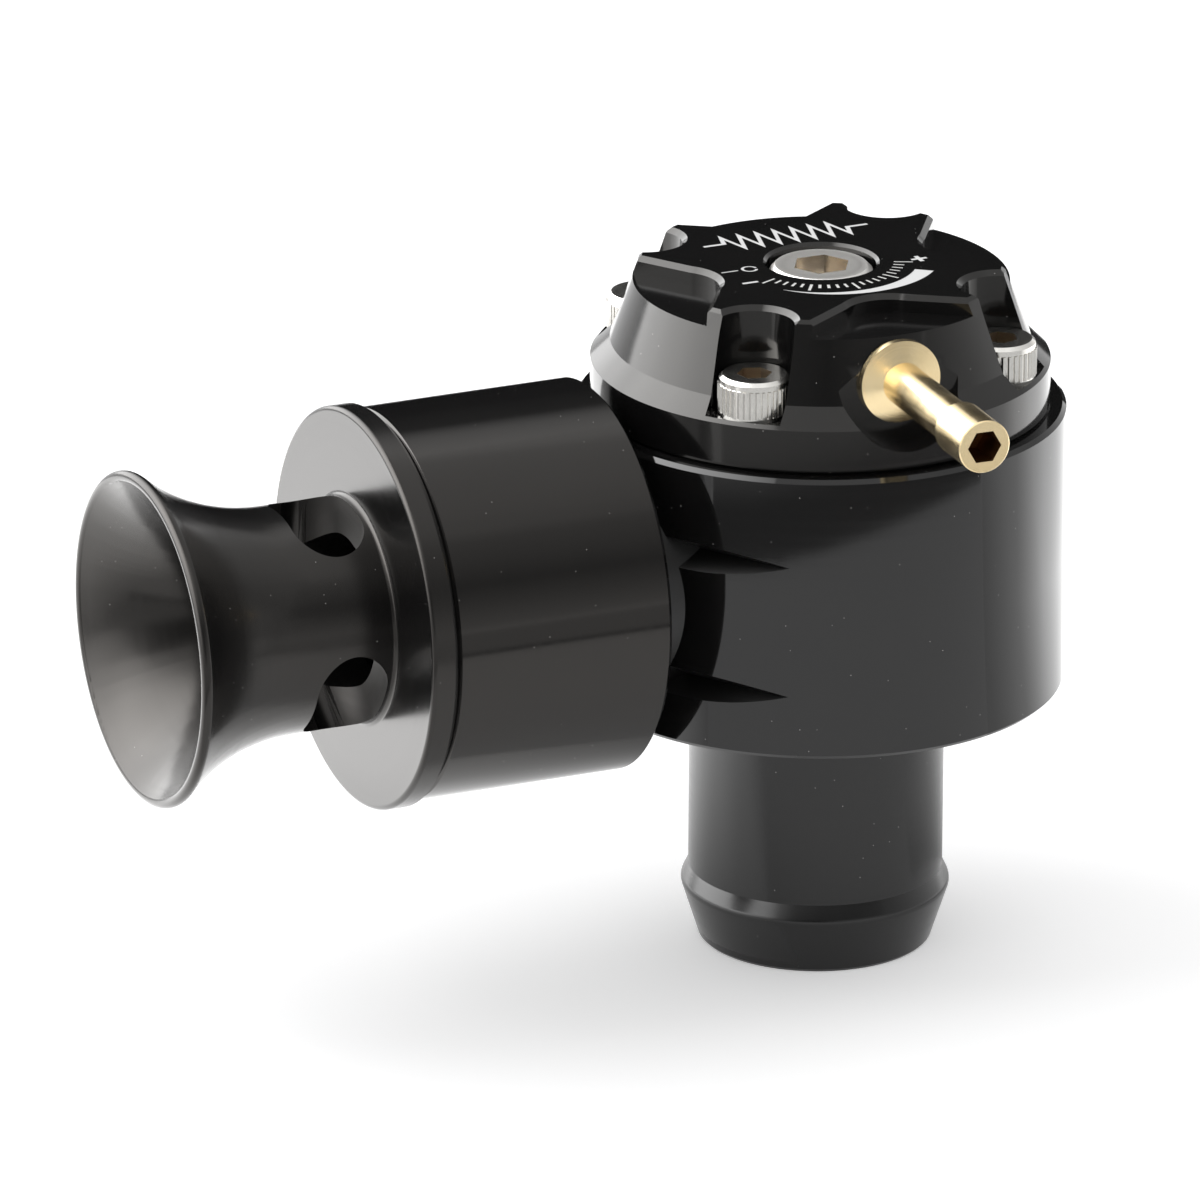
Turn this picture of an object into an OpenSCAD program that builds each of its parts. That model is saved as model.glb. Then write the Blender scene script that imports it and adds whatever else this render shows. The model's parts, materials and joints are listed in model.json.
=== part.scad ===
// Blow off valve: a piston valve that vents boost pressure through a side trumpet.
// Millimetres. Z is the piston's axis, z = 0 is the end of the inlet spigot.
// The outlet points along -X and the vacuum nipple along -Y.

/* [Inlet spigot] */
// Length of the hose spigot below the body
spigot_l = 27; // [22:0.2:36]
// Diameter of the bore through the spigot
inlet_bore_d = 19.5; // [16:0.1:20]
// Wall of the spigot's neck
spigot_wall = 2.75; // [2.4:0.05:4]
// Wall of the stub that screws into the body
stub_wall = 2.15; // [1.8:0.05:2.3]
// How far the hose bead stands out from the neck
bead_proud = 0.7; // [0.4:0.05:1.2]
// Height of the bead's crest above the spigot's end
bead_z = 5.7; // [4:0.1:8]
// Radius of the bead's rounded crest
bead_round = 1; // [0.6:0.1:1.2]
// How far the shoulder behind the bead reaches
bead_shoulder = 1.7; // [1.4:0.1:2.5]
// How much the spigot's end is smaller than the neck, in radius
lead_in = 1; // [0.4:0.05:1.4]

/* [Body] */
// Diameter of the piston bore
piston_bore_d = 28; // [27:0.1:34]
// Wall between the piston bore and the outside
body_wall = 10; // [9.4:0.1:14]
// Height of the body
body_h = 28.6; // [28:0.2:30.4]
// Thickness of the body's floor
body_floor = 4; // [3.4:0.1:4.8]
// Height of the valve seat above that floor
seat_lift = 1.4; // [0.8:0.1:2]
// Wall of the collar that centres the cap
collar_wall = 1.6; // [1.2:0.05:1.8]
// Chamfer around the underside
base_edge = 0.4; // [0.2:0.1:1.5]
// Chamfer around the top
top_edge = 0.4; // [0.2:0.1:1]

/* [Gills] */
// Depth of each gill groove at its middle
gill_depth = 2.5; // [1:0.1:4]
// Opening angle of a gill's V section
gill_angle = 60; // [40:1:80]
// Height of each gill above and below the gills' middle
gill_offset = 6.6; // [4:0.1:9]
// Depth of the gills' middle below the outlet's axis
gill_drop = 1; // [0:0.1:3]
// Direction of a gill's middle, from +X
gill_dir = 148; // [130:1:155]

/* [Outlet] */
// Height of the outlet's axis above the body's underside
outlet_up = 14; // [13:0.1:14.8]
// Diameter of the outlet port
port_d = 16; // [12:0.2:17]
// Wall of the boss around the port
boss_wall = 5; // [4:0.1:6]
// Gap between the body and the sleeve
sleeve_gap = 0.2; // [0.1:0.05:1]
// Length of the sleeve
sleeve_l = 22.5; // [20:0.1:34]
// Length of the sleeve's thick end, which fits over the boss
sleeve_web = 7.8; // [6:0.1:10]
// Room between the boss and the inside of the sleeve
chamber_room = 3.45; // [2.6:0.05:5]
// Wall of the sleeve
sleeve_wall = 2.75; // [2:0.05:5]
// Chamfer around the sleeve's ends
sleeve_edge = 0.4; // [0.2:0.05:0.8]

/* [Trumpet] */
// Thickness of the trumpet's flange
flange_t = 2.8; // [2:0.1:5]
// How far the flange stands out from the sleeve
flange_proud = 0.5; // [0.2:0.05:1.5]
// Length of the plug that fits into the sleeve
plug_l = 4.8; // [4:0.1:7]
// Wall of the plug
plug_wall = 3; // [2.4:0.1:4.4]
// Diameter of the throat
throat_d = 15; // [12:0.1:17]
// Wall of the neck
neck_wall = 3.6; // [2.5:0.05:5]
// Length of the straight neck
neck_l = 8; // [7.8:0.1:14]
// Radius of the flare's outer curve
flare_r = 19.8; // [18:0.1:30]
// Length of the flare
flare_l = 13.3; // [8:0.1:15]
// Radius of the rounded rim
rim_r = 0.6; // [0.4:0.05:0.8]
// Number of windows in the neck
window_count = 3; // [2:1:3]
// Width of a window along the neck
window_w = 7.2; // [4:0.1:7.4]
// Distance from a window's middle to the middle of each round end
window_reach = 2.6; // [1:0.1:2.6]
// Direction of the first window, from straight up towards -Y
window_dir = 7; // [0:1:60]

/* [Top cap] */
// Radius of the screw circle beyond the piston bore
screw_offset = 4.5; // [4.45:0.05:5.2]
// Ledge of the body around the cap
cap_ledge = 1.6; // [1:0.1:2]
// Height of the cap flange's side
cap_flange_h = 4.45; // [3:0.05:5]
// Chamfer above the flange
cap_chamfer = 1.9; // [1.5:0.05:2.6]
// How much the cap's wall leans in, in radius
cap_draft = 2.65; // [1:0.05:3]
// Thickness of the roof over the piston
roof_t = 3.8; // [3.2:0.1:6]
// Chamfer around the cap's plateau
plateau_edge = 0.5; // [0.2:0.05:0.8]
// Depth of the shallow recesses in the plateau
recess_depth = 1.7; // [0.8:0.1:2.5]
// Distance from the axis to a recess's inner end
recess_reach = 11.3; // [9:0.1:11.6]
// Radius of a recess's inner end
recess_r = 4.5; // [2:0.1:6]
// Angle between a recess's side and its middle line
recess_angle = 57; // [52:1:62]

/* [Screws] */
// Diameter of the cap screws
screw_d = 4; // [3:0.5:4]
// Length of the cap screws
screw_l = 16; // [10:1:20]
// Diameter of the adjuster screw
adjuster_d = 6; // [5:0.5:6]
// Length of the adjuster screw
adjuster_l = 16; // [15:1:18]

/* [Piston and spring] */
// Travel of the piston
piston_lift = 7; // [5:0.1:7.2]
// Thickness of the piston's floor
piston_floor = 2.6; // [2.2:0.1:4]
// Wall of the piston's skirt
piston_wall = 2.35; // [2:0.05:2.6]
// Height of the piston above the top of the port
piston_cover = 3; // [2.6:0.1:4]
// Diameter of the spring wire
wire_d = 1.6; // [1:0.1:1.8]
// Number of turns of the spring
spring_turns = 5; // [4:0.5:6]
// Room between the roof and the spring seat
seat_room = 4.2; // [3.6:0.1:5]
// Thickness of the spring seat's plate
seat_t = 1.8; // [1.4:0.1:2.4]

/* [Vacuum nipple] */
// Turn of the nipple from the outlet's right angle, towards the outlet
nipple_turn = 1.8; // [0:0.1:5]
// Height of the nipple's axis above the roof's underside
nipple_up = 4.25; // [4:0.05:4.6]
// Diameter of the spotface around the nipple
spotface_d = 12.5; // [10:0.1:13]
// Distance of the spotface from the valve's axis
spotface_y = 19; // [17.5:0.1:20]
// Diameter of the nipple's collar
nipple_collar_d = 8.2; // [7.2:0.1:9]
// Diameter of the nipple's tube
nipple_d = 4.2; // [3.9:0.1:5]
// Diameter of the barb at the nipple's end
barb_d = 5.25; // [5:0.05:6]
// Length of the barb
barb_l = 5.8; // [4:0.1:8]
// Length of the nipple outside the cap
nipple_l = 20.7; // [14:0.1:26]

/* [Fits] */
// Radial clearance of the parts that slide or turn
run_fit = 0.05; // [0.02:0.01:0.08]
// Radial clearance of the parts that are assembled once
seat_fit = 0.05; // [0.02:0.01:0.1]
// Section of the seals
seal_d = 1; // [0.8:0.05:1.05]

/* [Hidden] */
$fn = 96;

black = [0.07, 0.07, 0.075];
steel = [0.78, 0.78, 0.77];
brass = [0.83, 0.66, 0.33];
rubber = [0.05, 0.05, 0.05];
bare = [0.72, 0.73, 0.74];
spring_steel = [0.55, 0.56, 0.58];

// Overlap of cutting tools past the face that they cut
over = 1;
// Room around a seal in its groove
groove_room = 0.1;
// Room between a seal and the face that it seals against
seal_room = 0.03;

// Spigot and seat
inlet_r = inlet_bore_d / 2;
spigot_r = inlet_r + spigot_wall;
stub_r = inlet_r + stub_wall;
end_edge = 0.3;
body_z = spigot_l;
floor_z = body_z + body_floor;
seat_z = floor_z + seat_lift;

// Body
bore_r = piston_bore_d / 2;
body_r = bore_r + body_wall;
body_top = body_z + body_h;
collar_r = bore_r + collar_wall;
outlet_z = body_z + outlet_up;
port_r = port_d / 2;

// Piston, from the seat upwards
seal_stand = 0.3;
seal_gap = 0.05;
piston_r = bore_r - run_fit;
piston_z = seat_z + seal_stand;
piston_top = outlet_z + port_r + piston_cover;
piston_floor_z = piston_z + piston_floor;
piston_cup_r = piston_r - piston_wall;
seat_seal_inner = inlet_r + 0.15;
seat_seal_outer = stub_r - 0.2;
seat_seal_depth = 1;

// Cap, from the roof upwards
top_room = 0.5;
roof_z = piston_top + piston_lift + top_room;
collar_top = roof_z - seal_d - seal_room - groove_room;
adjuster_head_h = adjuster_d;
adjuster_head_r = adjuster_d * 5 / 6;
adjuster_sunk = 0.4;
counterbore_r = adjuster_head_r + 0.35;
counterbore_edge = 0.3;
counterbore_z = roof_z + roof_t;
adjuster_z = counterbore_z + seal_gap;
cap_top = counterbore_z + adjuster_head_h + adjuster_sunk;
cap_r = body_r - cap_ledge;
flange_top = body_top + cap_flange_h;
cone_r = cap_r - cap_chamfer;
cone_z = flange_top + cap_chamfer;
plateau_r = cone_r - cap_draft;
plateau_z = cap_top - recess_depth;
wall_edge = plateau_edge * 0.7;

// Cap screws
screw_r = screw_d / 2;
screw_circle_r = bore_r + screw_offset;
screw_head_r = screw_d * 6 / 7;
screw_head_h = screw_d * 0.96;
screw_count = 4;
screw_room = 0.2;
tapped_room = 0.05;
pocket_web = 0.9;
pocket_z = roof_z + pocket_web;
pocket_r = screw_head_r + 0.4;
tapped_end = 1;

// Adjuster
adjuster_r = adjuster_d / 2;
clip_t = 0.8;
clip_z = roof_z - 0.3 - clip_t;
clip_groove = 0.65;
clip_w = 2;
clip_r = adjuster_r + clip_w;
adjuster_seal_d = 0.8;
adjuster_seal_z = roof_z + roof_t / 2;

// Spring seat and guide pins
plate_top = roof_z - seat_room;
plate_z = plate_top - seat_t;
plate_r = piston_cup_r - 0.4;
hub_r = adjuster_r + 2;
hub_l = 2.2;
pin_r = 1;
pin_circle_r = hub_r + pin_r + 1;
pin_sunk = 2.5;
pin_end = 3;
spring_r = plate_r - 0.6 - wire_d / 2;
spring_gap = 0.05;

// Nipple, by distance from the valve's axis
nipple_z = roof_z + nipple_up;
thread_r = 2.5;
thread_l = 5.8;
nipple_tip = spotface_y + nipple_l;
cross_drill_r = 1.2;
down_drill_r = 1;
cross_drill_l = 8.5;
down_drill_y = spotface_y - cross_drill_l;
nipple_seal_d = 0.8;

// Outlet, by distance from the valve's axis
boss_r = port_r + boss_wall;
sleeve_start = body_r + sleeve_gap;
web_end = sleeve_start + sleeve_web;
sleeve_end = sleeve_start + sleeve_l;
chamber_r = boss_r + chamber_room;
sleeve_r = chamber_r + sleeve_wall;
circlip_t = 1;
circlip_groove = 0.8;
circlip_start = web_end + seat_fit;
boss_end = circlip_start + circlip_t + 1.4;
sleeve_seal = sleeve_start + sleeve_web / 2;

// Trumpet, by distance from the valve's axis
flange_start = sleeve_end + seat_fit;
flange_end = flange_start + flange_t;
flange_r = sleeve_r + flange_proud;
flange_back_edge = 0.5;
flange_front_edge = 0.5;
plug_r = chamber_r - seat_fit;
plug_start = flange_start - plug_l;
plug_seal = flange_start - plug_l / 2;
throat_r = throat_d / 2;
neck_r = throat_r + neck_wall;
neck_end = flange_end + neck_l;
neck_fillet = 0.5;
window_mid = flange_end + neck_fillet + window_w / 2 + 0.2;
// The rim's round touches the outer curve where the flare ends
flare_turn = asin(flare_l / flare_r);
flare_mid_r = neck_r + flare_r;
flare_end_x = neck_end + flare_l;
flare_end_r = flare_mid_r - flare_r * cos(flare_turn);
rim_x = neck_end + (flare_r + rim_r) * sin(flare_turn);
rim_mid_r = flare_mid_r - (flare_r + rim_r) * cos(flare_turn);
// The bell's inner curve starts inside the neck and runs just under the rim's round
rim_lap = 0.05;
rim_touch = rim_r - rim_lap;
bell_start = neck_end - 2;
bell_run = rim_x - bell_start;
bell_rise = rim_mid_r - throat_r;
bell_r = (bell_run ^ 2 + bell_rise ^ 2 - rim_touch ^ 2) / (2 * (bell_rise - rim_touch));
bell_mid_r = throat_r + bell_r;
bell_end_x = bell_start + bell_r * bell_run / (bell_r - rim_touch);
bell_end_r = bell_mid_r - bell_r * (bell_mid_r - rim_mid_r) / (bell_r - rim_touch);

// Frames and patterns
module in_outlet_frame() {
    translate([0, 0, outlet_z])
        rotate([0, -90, 0])
            children();
}

// Turned so that -Y runs along the nipple
module towards_nipple() {
    rotate([0, 0, -nipple_turn])
        children();
}

module in_nipple_frame() {
    towards_nipple()
        translate([0, 0, nipple_z])
            rotate([90, 0, 0])
                children();
}

module at_screws() {
    for (i = [0 : screw_count - 1])
        rotate([0, 0, (i + 0.5) * 360 / screw_count])
            translate([screw_circle_r, 0, 0])
                children();
}

// Shapes that repeat
module post(r, z0, z1) {
    translate([0, 0, z0])
        cylinder(r = r, h = z1 - z0);
}

module ring(outer, inner, z0, z1) {
    difference() {
        post(outer, z0, z1);
        post(inner, z0 - over, z1 + over);
    }
}

module o_ring(mid_r, section_d, z) {
    translate([0, 0, z])
        rotate_extrude()
            translate([mid_r, 0])
                circle(d = section_d, $fn = 32);
}

// Groove for an O-ring around a shaft of radius r
module seal_groove(r, section_d, z) {
    width = section_d + 2 * groove_room;
    ring(r + over, r - section_d - seal_room, z - width / 2, z + width / 2);
}

// O-ring in that groove, just short of the bore of radius bore
module seal_in_groove(bore, section_d, z) {
    o_ring(bore - seal_room - section_d / 2, section_d, z);
}

// Flat retaining ring with a gap
module open_ring(outer, inner, z, t, gap) {
    difference() {
        ring(outer, inner, z, z + t);
        translate([-outer - over, -gap / 2, z - over])
            cube([outer + over, gap, t + 2 * over]);
    }
}

// Socket head screw that hangs down from z = 0, with its head above
module socket_screw(shank_r, shank_l, head_r, head_h, hex_w, hex_depth) {
    edge = head_r * 0.1;
    difference() {
        rotate_extrude()
            polygon([
                [0, -shank_l],
                [shank_r - edge, -shank_l],
                [shank_r, -shank_l + edge],
                [shank_r, 0],
                [head_r, 0],
                [head_r, head_h - edge],
                [head_r - edge, head_h],
                [0, head_h]
            ]);
        translate([0, 0, head_h - hex_depth])
            cylinder(d = hex_w / cos(30), h = hex_depth + over, $fn = 6);
    }
}

// Chamfer around a round edge of the plateau
module edge_cone(r) {
    translate([0, 0, cap_top - plateau_edge])
        cylinder(r1 = r, r2 = r + plateau_edge + over, h = plateau_edge + over);
}

// Chamfer along a straight edge of the plateau, run along +X on the side of +Y or -Y
module edge_wedge(length, side) {
    rotate([90, 0, 90])
        linear_extrude(length)
            polygon([
                [-side * plateau_edge, -plateau_edge],
                [0, -plateau_edge],
                [side * (plateau_edge + over), over],
                [-side * plateau_edge, over]
            ]);
}

// Body
module body_blank() {
    rotate_extrude()
        polygon([
            [0, body_z],
            [body_r - base_edge, body_z],
            [body_r, body_z + base_edge],
            [body_r, body_top - top_edge],
            [body_r - top_edge, body_top],
            [collar_r, body_top],
            [collar_r, collar_top],
            [0, collar_top]
        ]);
}

module gill(direction, z) {
    reach = gill_depth + over;
    half = reach * tan(gill_angle / 2);
    rotate([0, 0, direction])
        translate([body_r - gill_depth, 0, z])
            rotate([90, 0, 0])
                linear_extrude(2 * body_r, center = true)
                    polygon([[0, 0], [reach, -half], [reach, half]]);
}

module outlet_boss() {
    in_outlet_frame()
        difference() {
            post(boss_r, bore_r, boss_end);
            seal_groove(boss_r, seal_d, sleeve_seal);
            ring(
                boss_r + over, boss_r - circlip_groove,
                circlip_start, circlip_start + circlip_t + groove_room
            );
        }
}

module main_body() {
    color(black)
        difference() {
            union() {
                difference() {
                    body_blank();
                    for (side = [-1, 1], level = [-1, 1])
                        gill(side * gill_dir, outlet_z - gill_drop + level * gill_offset);
                }
                outlet_boss();
            }
            post(bore_r, floor_z, collar_top + over);
            post(stub_r + seat_fit, body_z - over, floor_z + over);
            in_outlet_frame()
                post(port_r, 0, boss_end + over);
            at_screws()
                post(screw_r + tapped_room, pocket_z - screw_l - tapped_end, body_top + over);
        }
}

// Point where a line from p touches the circle of radius r around c, on one side
function touch(p, c, r, side) =
    let (
        run = c - p,
        far = run * run,
        reach = far - r * r
    )
    p + run * reach / far + [run[1], -run[0]] * side * r * sqrt(reach) / far;

// Inlet spigot
module inlet_spigot() {
    crest = [spigot_r + bead_proud - bead_round, bead_z];
    foot = [spigot_r - lead_in, end_edge];
    shoulder = [spigot_r, bead_z + bead_shoulder];
    color(black)
        difference() {
            rotate_extrude() {
                polygon([
                    [inlet_r, 0],
                    [foot[0] - end_edge, 0],
                    foot,
                    touch(foot, crest, bead_round, 1),
                    touch(shoulder, crest, bead_round, -1),
                    shoulder,
                    [spigot_r, body_z],
                    [stub_r, body_z],
                    [stub_r, seat_z],
                    [inlet_r, seat_z]
                ]);
                translate(crest)
                    circle(r = bead_round);
            }
            seal_groove(stub_r, seal_d, (body_z + floor_z) / 2);
        }
}

module spigot_o_ring() {
    color(rubber)
        seal_in_groove(stub_r + seat_fit, seal_d, (body_z + floor_z) / 2);
}

// Top cap
module cap_blank() {
    cap_foot = 0.3;
    rotate_extrude()
        polygon([
            [0, body_top],
            [cap_r - cap_foot, body_top],
            [cap_r, body_top + cap_foot],
            [cap_r, flange_top],
            [cone_r, cone_z],
            [plateau_r, cap_top - wall_edge],
            [plateau_r - wall_edge, cap_top],
            [0, cap_top]
        ]);
}

// Radial pocket around one cap screw, open to the outside
module screw_pocket() {
    length = cap_r - screw_circle_r + over;
    translate([0, 0, pocket_z])
        linear_extrude(cap_top - pocket_z + over)
            union() {
                circle(r = pocket_r);
                translate([0, -pocket_r])
                    square([length, 2 * pocket_r]);
            }
    edge_cone(pocket_r);
    for (side = [-1, 1])
        translate([0, side * pocket_r, cap_top])
            edge_wedge(length, side);
    post(screw_r + screw_room, body_top - over, pocket_z + over);
}

// Shallow recess with a rounded inner end and two sides that open outwards
module plateau_recess() {
    length = cap_r;
    lean = [cos(recess_angle), sin(recess_angle)];
    side_r = recess_r * 0.98;
    root = [-side_r * lean[1], side_r * lean[0]];
    tip = root + length * lean;
    translate([recess_reach + recess_r, 0, 0]) {
        translate([0, 0, plateau_z])
            linear_extrude(recess_depth + over)
                union() {
                    circle(r = recess_r);
                    polygon([root, tip, [tip[0], -tip[1]], [root[0], -root[1]]]);
                }
        edge_cone(recess_r);
        for (side = [-1, 1])
            rotate([0, 0, side * recess_angle])
                translate([0, side * side_r, cap_top])
                    edge_wedge(length, side);
    }
}

// Spotface, thread and drilled passage of the nipple
module nipple_port() {
    seal_seat = nipple_seal_d + groove_room;
    in_nipple_frame() {
        post(spotface_d / 2, spotface_y, cap_r + over);
        post(thread_r + seat_fit, spotface_y - thread_l - tapped_end, spotface_y + over);
        post(thread_r + seal_seat, spotface_y - seal_seat, spotface_y + over);
        post(cross_drill_r, down_drill_y - 2 * down_drill_r, spotface_y);
    }
    towards_nipple()
        translate([0, -down_drill_y, 0])
            post(down_drill_r, roof_z - over, nipple_z);
}

module adjuster_port() {
    post(adjuster_r + run_fit, roof_z - over, counterbore_z + over);
    post(counterbore_r, counterbore_z, cap_top + over);
    translate([0, 0, cap_top - counterbore_edge])
        cylinder(
            r1 = counterbore_r, r2 = counterbore_r + counterbore_edge + over,
            h = counterbore_edge + over
        );
}

module at_pins() {
    for (side = [-1, 1])
        translate([side * pin_circle_r, 0, 0])
            children();
}

module top_cap() {
    color(black)
        difference() {
            cap_blank();
            post(collar_r + seat_fit, body_top - over, roof_z);
            at_screws()
                screw_pocket();
            for (i = [0 : screw_count - 1])
                rotate([0, 0, i * 360 / screw_count])
                    plateau_recess();
            adjuster_port();
            nipple_port();
            at_pins()
                post(pin_r + seat_fit, roof_z - over, roof_z + pin_sunk + groove_room);
        }
}

module cap_o_ring() {
    color(rubber)
        o_ring(collar_r - collar_wall / 2, seal_d, (collar_top + roof_z) / 2);
}

module cap_screws() {
    color(steel)
        at_screws()
            translate([0, 0, pocket_z])
                socket_screw(screw_r, screw_l, screw_head_r, screw_head_h, screw_d * 3 / 4, screw_d / 2);
}

// Spring adjuster
module adjuster_screw() {
    color(steel)
        difference() {
            translate([0, 0, adjuster_z])
                socket_screw(
                    adjuster_r, adjuster_l, adjuster_head_r, adjuster_head_h,
                    adjuster_d * 5 / 6, adjuster_d / 2
                );
            ring(
                adjuster_r + over, adjuster_r - clip_groove,
                clip_z - groove_room / 2, clip_z + clip_t + groove_room / 2
            );
            seal_groove(adjuster_r, adjuster_seal_d, adjuster_seal_z);
        }
}

module adjuster_o_ring() {
    color(rubber)
        seal_in_groove(adjuster_r + run_fit, adjuster_seal_d, adjuster_seal_z);
}

module adjuster_clip() {
    color(spring_steel)
        open_ring(clip_r, adjuster_r - clip_groove + seat_fit, clip_z, clip_t, adjuster_r);
}

module spring_seat() {
    color(bare)
        difference() {
            union() {
                post(plate_r, plate_z, plate_top);
                post(hub_r, plate_z - hub_l, plate_z + seat_t / 2);
            }
            post(adjuster_r + run_fit, plate_z - hub_l - over, plate_top + over);
            at_pins()
                post(pin_r + run_fit, plate_z - over, plate_top + over);
        }
}

module guide_pins() {
    color(spring_steel)
        at_pins()
            post(pin_r, plate_z - pin_end, roof_z + pin_sunk);
}

// Compression spring with one closed turn at each end
function spring_height(turn, height) =
    let (
        closed = 1.05 * wire_d,
        pitch = (height - wire_d - 2 * closed) / (spring_turns - 2),
        low = min(turn, 1),
        middle = min(max(turn - 1, 0), spring_turns - 2),
        high = max(turn - spring_turns + 1, 0)
    )
    wire_d / 2 + closed * (low + high) + pitch * middle;

function coil_point(turn, side, sides, height) =
    let (
        reach = spring_r + wire_d / 2 * cos(360 * side / sides),
        rise = spring_height(turn, height) + wire_d / 2 * sin(360 * side / sides)
    )
    [reach * cos(360 * turn), reach * sin(360 * turn), rise];

module main_spring() {
    sides = 10;
    steps = 28;
    rings = floor(spring_turns * steps);
    height = plate_z - piston_floor_z - 2 * spring_gap;
    points = [
        for (i = [0 : rings], j = [0 : sides - 1]) coil_point(i / steps, j, sides, height)
    ];
    walls = [
        for (i = [0 : rings - 1], j = [0 : sides - 1])
            let (k = (j + 1) % sides)
            [i * sides + j, (i + 1) * sides + j, (i + 1) * sides + k, i * sides + k]
    ];
    first_end = [for (j = [0 : sides - 1]) j];
    last_end = [for (j = [sides - 1 : -1 : 0]) rings * sides + j];
    color(spring_steel)
        translate([0, 0, piston_floor_z + spring_gap])
            polyhedron(points, concat(walls, [first_end, last_end]));
}

// Piston
module piston() {
    edge = 0.4;
    color(brass)
        difference() {
            rotate_extrude()
                polygon([
                    [0, piston_z],
                    [piston_r - edge, piston_z],
                    [piston_r, piston_z + edge],
                    [piston_r, piston_top - edge],
                    [piston_r - edge, piston_top],
                    [piston_cup_r, piston_top],
                    [piston_cup_r, piston_floor_z],
                    [0, piston_floor_z]
                ]);
            seal_groove(piston_r, seal_d, piston_top - piston_cover / 2);
            ring(seat_seal_outer, seat_seal_inner, piston_z - over, piston_z + seat_seal_depth);
        }
}

module piston_o_ring() {
    color(rubber)
        seal_in_groove(bore_r, seal_d, piston_top - piston_cover / 2);
}

module piston_seat_seal() {
    color(rubber)
        ring(
            seat_seal_outer - seat_fit, seat_seal_inner + seat_fit,
            seat_z + seal_gap, piston_z + seat_seal_depth - seat_fit
        );
}

// Vacuum nipple
module vacuum_nipple() {
    collar_r = nipple_collar_d / 2;
    collar_t = 0.7;
    collar_slope = 0.6;
    tube_r = nipple_d / 2;
    barb_r = barb_d / 2;
    barb_back = 0.5;
    tip_edge = 0.12;
    hex_w = 3;
    hex_depth = 4;
    bore_d = 2;
    color(brass)
        in_nipple_frame()
            difference() {
                rotate_extrude()
                    polygon([
                        [0, spotface_y - thread_l],
                        [thread_r, spotface_y - thread_l],
                        [thread_r, spotface_y],
                        [collar_r, spotface_y],
                        [collar_r, spotface_y + collar_t],
                        [tube_r, spotface_y + collar_t + collar_slope],
                        [tube_r, nipple_tip - barb_l - barb_back],
                        [barb_r, nipple_tip - barb_l],
                        [barb_r, nipple_tip - tip_edge],
                        [barb_r - tip_edge, nipple_tip],
                        [0, nipple_tip]
                    ]);
                translate([0, 0, nipple_tip - hex_depth])
                    cylinder(d = hex_w / cos(30), h = hex_depth + over, $fn = 6);
                post(bore_d / 2, spotface_y - thread_l - over, nipple_tip);
            }
}

module nipple_o_ring() {
    room = groove_room / 2;
    color(rubber)
        in_nipple_frame()
            o_ring(
                thread_r + room + nipple_seal_d / 2, nipple_seal_d,
                spotface_y - room - nipple_seal_d / 2
            );
}

// Outlet sleeve
module outlet_sleeve() {
    color(black)
        in_outlet_frame()
            rotate_extrude()
                polygon([
                    [boss_r + seat_fit, sleeve_start],
                    [sleeve_r - sleeve_edge, sleeve_start],
                    [sleeve_r, sleeve_start + sleeve_edge],
                    [sleeve_r, sleeve_end - sleeve_edge],
                    [sleeve_r - sleeve_edge, sleeve_end],
                    [chamber_r, sleeve_end],
                    [chamber_r, web_end],
                    [boss_r + seat_fit, web_end]
                ]);
}

module sleeve_o_ring() {
    color(rubber)
        in_outlet_frame()
            seal_in_groove(boss_r + seat_fit, seal_d, sleeve_seal);
}

module sleeve_circlip() {
    lug_gap = 6;
    color(spring_steel)
        in_outlet_frame()
            open_ring(
                boss_r + 1.8, boss_r - circlip_groove + seat_fit,
                circlip_start + groove_room / 2, circlip_t, lug_gap
            );
}

// Trumpet
module trumpet_flange() {
    rotate_extrude()
        difference() {
            union() {
                polygon([
                    [throat_r, flange_start],
                    [flange_r - flange_back_edge, flange_start],
                    [flange_r, flange_start + flange_back_edge],
                    [flange_r, flange_end - flange_front_edge],
                    [flange_r - flange_front_edge, flange_end - flange_front_edge],
                    [flange_r - flange_front_edge, flange_end],
                    [throat_r, flange_end]
                ]);
                translate([flange_r - flange_front_edge, flange_end - flange_front_edge])
                    circle(r = flange_front_edge);
                translate([neck_r - over, flange_end - over])
                    square([over + neck_fillet, over + neck_fillet]);
            }
            translate([neck_r + neck_fillet, flange_end + neck_fillet])
                circle(r = neck_fillet);
        }
}

module trumpet_plug() {
    difference() {
        ring(plug_r, plug_r - plug_wall, plug_start, flange_start + flange_t / 2);
        seal_groove(plug_r, seal_d, plug_seal);
    }
}

// Wall of the flare, between the inner and the outer curve, with its rounded rim
module trumpet_flare() {
    rotate_extrude() {
        intersection() {
            translate([bell_mid_r, bell_start])
                circle(r = bell_r, $fn = 180);
            difference() {
                polygon([
                    [throat_r, bell_start],
                    [neck_r, bell_start],
                    [neck_r, neck_end],
                    [flare_end_r, flare_end_x],
                    [rim_mid_r, rim_x],
                    [bell_end_r, bell_end_x],
                    [throat_r, bell_end_x]
                ]);
                translate([flare_mid_r, neck_end])
                    circle(r = flare_r, $fn = 180);
            }
        }
        translate([rim_mid_r, rim_x])
            circle(r = rim_r);
    }
}

// Round-ended slot through the neck's wall, centred on local +X
module neck_window() {
    translate([throat_r / 2, 0, window_mid])
        rotate([0, 90, 0])
            linear_extrude(neck_r)
                union() {
                    for (side = [-1, 1])
                        translate([0, side * window_reach])
                            circle(d = window_w);
                    square([window_w, 2 * window_reach], center = true);
                }
}

module trumpet() {
    color(black)
        in_outlet_frame()
            difference() {
                union() {
                    trumpet_flange();
                    trumpet_plug();
                    ring(neck_r, throat_r, flange_end - over, bell_start + over / 2);
                    trumpet_flare();
                }
                for (i = [0 : window_count - 1])
                    rotate([0, 0, -window_dir + i * 360 / window_count])
                        neck_window();
            }
}

module trumpet_o_ring() {
    color(rubber)
        in_outlet_frame()
            seal_in_groove(chamber_r, seal_d, plug_seal);
}

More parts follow.
